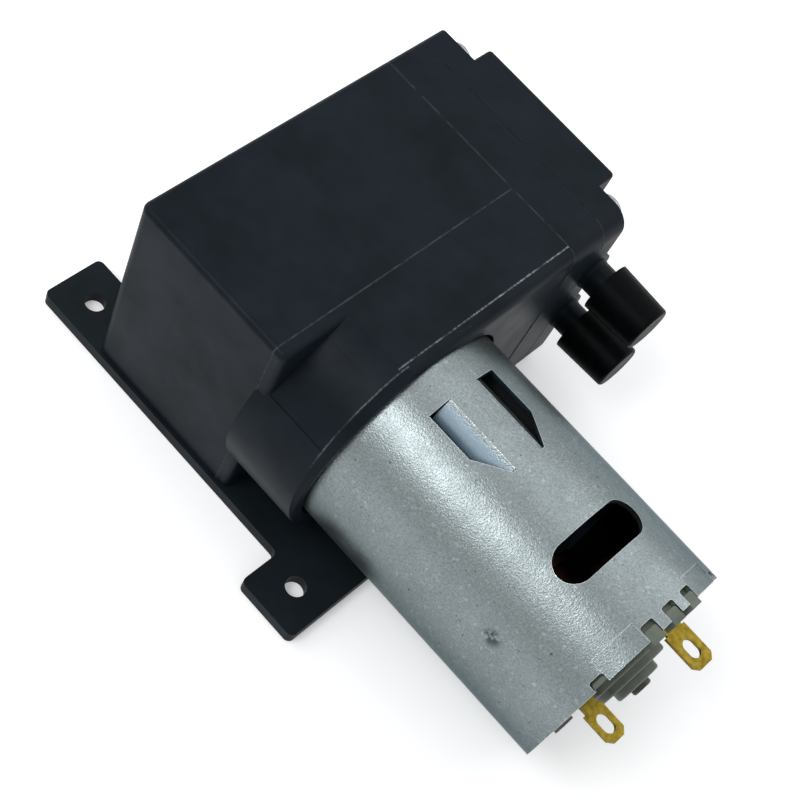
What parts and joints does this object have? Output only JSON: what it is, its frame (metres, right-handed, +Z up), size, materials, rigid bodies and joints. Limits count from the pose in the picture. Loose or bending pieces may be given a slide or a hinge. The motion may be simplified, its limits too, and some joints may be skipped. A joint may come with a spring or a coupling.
{
  "type": "diaphragm vacuum pump",
  "caption": "Small electric diaphragm pump: boxy black body on a foot plate, round steel motor on one side, layered head with capped hose ports.",
  "frame": {"origin": "underside of the foot plate, midway between its two rows of holes and straight below the motor axis", "axes": "+X along the motor axis towards the terminals, +Y towards the pump head, +Z up from the foot plate"},
  "size_m": [0.1067, 0.0716, 0.0399],
  "materials": {
    "body_plastic": "black moulded plastic, fine spark texture",
    "screw_steel": "zinc plated steel",
    "valve_rubber": "black moulded rubber",
    "cap_rubber": "soft black dipped vinyl",
    "clamp_metal": "turned aluminium",
    "rod_plastic": "natural acetal",
    "bearing_steel": "ground steel",
    "weight_metal": "turned brass",
    "can_steel": "mottled zinc plated drawn steel",
    "bush_bronze": "sintered bronze",
    "magnet_ceramic": "dark ceramic magnet",
    "bell_plastic": "grey moulded plastic",
    "card_plastic": "brown laminate",
    "brush_carbon": "pressed carbon",
    "terminal_brass": "dull brass strip",
    "core_steel": "stacked electrical steel",
    "coil_copper": "enamelled copper"
  },
  "bodies": {
    "pump_body": {"foot_plate": "body_plastic", "plate_screws": "screw_steel", "crankcase": "body_plastic", "case_screws": "screw_steel", "motor_bracket": "body_plastic", "motor_screws": "screw_steel", "valve_body": "body_plastic", "inlet_valve": "valve_rubber", "outlet_valve": "valve_rubber", "head_gasket": "valve_rubber", "head_cover": "body_plastic", "head_screws": "screw_steel", "diaphragm": "valve_rubber", "motor_can": "can_steel", "front_bearing": "bush_bronze", "rear_bearing": "bush_bronze", "magnets": "magnet_ceramic", "magnet_clip": "bearing_steel", "end_bell": "bell_plastic", "brush_card": "card_plastic", "brushes": "brush_carbon", "brush_holders": "terminal_brass", "terminals": "terminal_brass"},
    "rotor": {"shaft": "bearing_steel", "armature_core": "core_steel", "windings": "coil_copper", "commutator_hub": "card_plastic", "commutator_bars": "coil_copper", "shaft_washers": "card_plastic", "eccentric": "weight_metal", "set_screw": "screw_steel"},
    "rod_group": {"connecting_rod": "rod_plastic", "crank_bearing": "bearing_steel", "diaphragm_clamp": "clamp_metal", "diaphragm_screw": "screw_steel"},
    "inlet_cap_body": {"inlet_cap": "cap_rubber"},
    "outlet_cap_body": {"outlet_cap": "cap_rubber"}
  },
  "joints": [
    {"name": "rotor_spin", "type": "hinge", "parent": "pump_body", "child": "rotor", "pos_m": [0, 0, 0.0203], "axis": [1, 0, 0], "continuous": true, "deforming": ["diaphragm"]},
    {"name": "rod_pivot", "type": "hinge", "parent": "rotor", "child": "rod_group", "pos_m": [0.0001, -0.002, 0.0203], "axis": [1, 0, 0], "continuous": true},
    {"name": "inlet_cap_pull", "type": "slide", "parent": "pump_body", "child": "inlet_cap_body", "axis": [1, 0, 0], "range_m": [0, 0.012]},
    {"name": "outlet_cap_pull", "type": "slide", "parent": "pump_body", "child": "outlet_cap_body", "axis": [1, 0, 0], "range_m": [0, 0.012]}
  ],
  "couplings": [
    {"joint": "rod_pivot", "follows": "rotor_spin", "ratio": -1}
  ]
}
